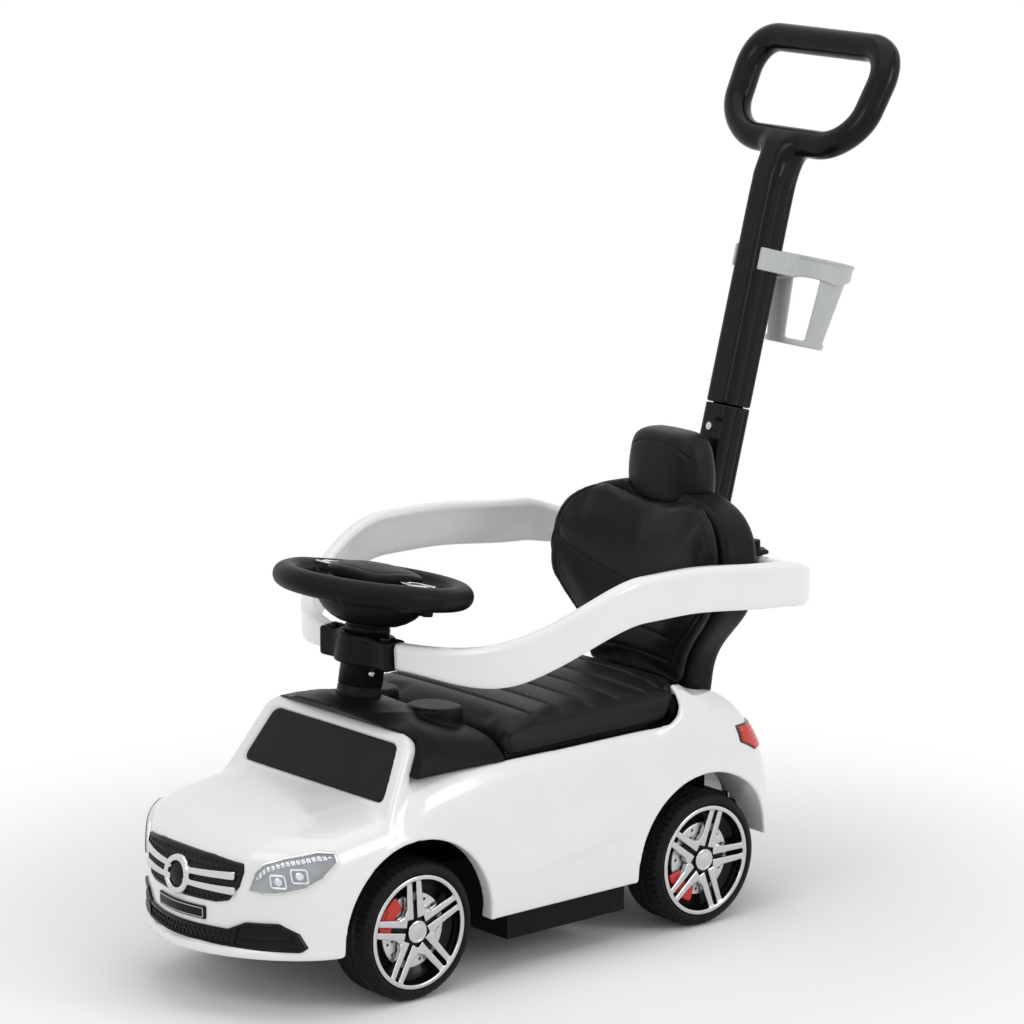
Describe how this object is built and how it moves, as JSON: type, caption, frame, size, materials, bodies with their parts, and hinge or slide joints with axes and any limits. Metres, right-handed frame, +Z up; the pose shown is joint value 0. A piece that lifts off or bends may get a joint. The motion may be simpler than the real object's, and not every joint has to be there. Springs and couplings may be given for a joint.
{
  "type": "push car",
  "caption": "Toddler ride-on push car with moulded body, padded lift-off seat and backrest, swing-open guard rail, steering front wheels and a tall parent handle with cup holder.",
  "frame": {"origin": "on the floor under the middle of the whole car", "axes": "+Z up, -Y towards the nose, +X to the driver's left"},
  "size_m": [0.416, 0.8824, 0.8831],
  "materials": {
    "white_gloss": "smooth glossy moulded plastic",
    "light_grey": "satin moulded plastic",
    "black_gloss": "glossy moulded plastic",
    "black_matte": "fine-grained moulded plastic",
    "tyre_black": "dull moulded plastic",
    "plated_silver": "plated, mirror-like",
    "clear_lens": "clear, glossy",
    "red_lens": "glossy",
    "black_leather": "soft grained cover over foam",
    "steel": "plain drawn steel"
  },
  "bodies": {
    "car": {"body_shell": "white_gloss", "windscreen_panel": "black_gloss", "grille_panel": "black_gloss", "grille_louvres": "plated_silver", "number_plate": "black_gloss", "lower_grille": "black_gloss", "chassis": "black_matte", "dash_cover": "black_matte", "backrest_shell": "black_matte", "backrest_cushion": "black_leather", "headrest_cushion": "black_leather", "rail_hinge_pins": "steel", "rail_clamp": "black_matte", "column_tube": "black_matte", "king_pins": "steel", "rear_axle": "steel", "handle_lower": "black_matte", "handle_upper": "black_matte", "cup_holder": "light_grey", "assembly_screws": "steel", "headlamp_housing_left": "plated_silver", "headlamp_lens_left": "clear_lens", "tail_lamp_left": "red_lens", "headlamp_housing_right": "plated_silver", "headlamp_lens_right": "clear_lens", "tail_lamp_right": "red_lens"},
    "seat": {"seat_lid": "black_matte", "seat_cushion": "black_leather"},
    "steering": {"steering_shaft": "steel", "steering_hub": "black_matte", "steering_wheel": "black_matte", "sound_box": "black_matte", "spoke_trims": "plated_silver"},
    "horn": {"horn_pad": "black_matte"},
    "link": {"tie_rod": "black_matte"},
    "rail_arm_left": {"rail_left": "white_gloss"},
    "latch_left": {"rail_latch_left": "black_matte"},
    "music_left": {"music_button_left": "black_gloss"},
    "steer_left": {"knuckle_left": "black_matte"},
    "wheel_front_left": {"tyre_front_left": "tyre_black", "rim_front_left": "black_gloss", "brake_plate_front_left": "plated_silver", "wheel_trim_front_left": "plated_silver"},
    "wheel_rear_left": {"tyre_rear_left": "tyre_black", "rim_rear_left": "black_gloss", "brake_plate_rear_left": "plated_silver", "wheel_trim_rear_left": "plated_silver"},
    "rail_arm_right": {"rail_right": "white_gloss"},
    "latch_right": {"rail_latch_right": "black_matte"},
    "music_right": {"music_button_right": "black_gloss"},
    "steer_right": {"knuckle_right": "black_matte"},
    "wheel_front_right": {"tyre_front_right": "tyre_black", "rim_front_right": "black_gloss", "brake_plate_front_right": "plated_silver", "wheel_trim_front_right": "plated_silver"},
    "wheel_rear_right": {"tyre_rear_right": "tyre_black", "rim_rear_right": "black_gloss", "brake_plate_rear_right": "plated_silver", "wheel_trim_rear_right": "plated_silver"}
  },
  "joints": [
    {"name": "steering_turn", "type": "hinge", "parent": "car", "child": "steering", "pos_m": [0, -0.21394, 0.264], "axis": [0, 0.1788, 0.9839], "range_deg": [-36, 36]},
    {"name": "link_slide", "type": "slide", "parent": "car", "child": "link", "axis": [-1, 0, 0], "range_m": [-0.016, 0.016]},
    {"name": "seat_lift", "type": "slide", "parent": "car", "child": "seat", "axis": [0, 0, 1], "range_m": [0, 0.08]},
    {"name": "horn_press", "type": "slide", "parent": "steering", "child": "horn", "axis": [0, -0.1788, -0.9839], "range_m": [0, 0.0025], "stiffness_N_per_m": 1500},
    {"name": "steer_left_turn", "type": "hinge", "parent": "car", "child": "steer_left", "pos_m": [0.074, -0.24894, 0.076], "axis": [0, 0, 1], "range_deg": [-21, 21]},
    {"name": "wheel_front_left_spin", "type": "hinge", "parent": "steer_left", "child": "wheel_front_left", "pos_m": [0.111, -0.24894, 0.069], "axis": [1, 0, 0], "continuous": true},
    {"name": "wheel_rear_left_spin", "type": "hinge", "parent": "car", "child": "wheel_rear_left", "pos_m": [0.111, 0.12706, 0.069], "axis": [1, 0, 0], "continuous": true},
    {"name": "rail_left_swing", "type": "hinge", "parent": "car", "child": "rail_arm_left", "pos_m": [0.096, 0.22906, 0.35], "axis": [0, 0, 1], "range_deg": [0, 80]},
    {"name": "latch_left_press", "type": "slide", "parent": "car", "child": "latch_left", "axis": [0, 0, -1], "range_m": [0, 0.0025], "stiffness_N_per_m": 800},
    {"name": "music_left_press", "type": "slide", "parent": "steering", "child": "music_left", "axis": [0, -0.1788, -0.9839], "range_m": [0, 0.002], "stiffness_N_per_m": 800},
    {"name": "steer_right_turn", "type": "hinge", "parent": "car", "child": "steer_right", "pos_m": [-0.074, -0.24894, 0.076], "axis": [0, 0, 1], "range_deg": [-21, 21]},
    {"name": "wheel_front_right_spin", "type": "hinge", "parent": "steer_right", "child": "wheel_front_right", "pos_m": [-0.111, -0.24894, 0.069], "axis": [1, 0, 0], "continuous": true},
    {"name": "wheel_rear_right_spin", "type": "hinge", "parent": "car", "child": "wheel_rear_right", "pos_m": [-0.111, 0.12706, 0.069], "axis": [1, 0, 0], "continuous": true},
    {"name": "rail_right_swing", "type": "hinge", "parent": "car", "child": "rail_arm_right", "pos_m": [-0.096, 0.22906, 0.35], "axis": [0, 0, -1], "range_deg": [0, 80]},
    {"name": "latch_right_press", "type": "slide", "parent": "car", "child": "latch_right", "axis": [0, 0, -1], "range_m": [0, 0.0025], "stiffness_N_per_m": 800},
    {"name": "music_right_press", "type": "slide", "parent": "steering", "child": "music_right", "axis": [0, -0.1788, -0.9839], "range_m": [0, 0.002], "stiffness_N_per_m": 800}
  ],
  "couplings": [
    {"joint": "link_slide", "follows": "steering_turn", "m_per_rad": 0.0234},
    {"joint": "steer_left_turn", "follows": "steering_turn", "ratio": 0.5556},
    {"joint": "steer_right_turn", "follows": "steering_turn", "ratio": 0.5556}
  ]
}
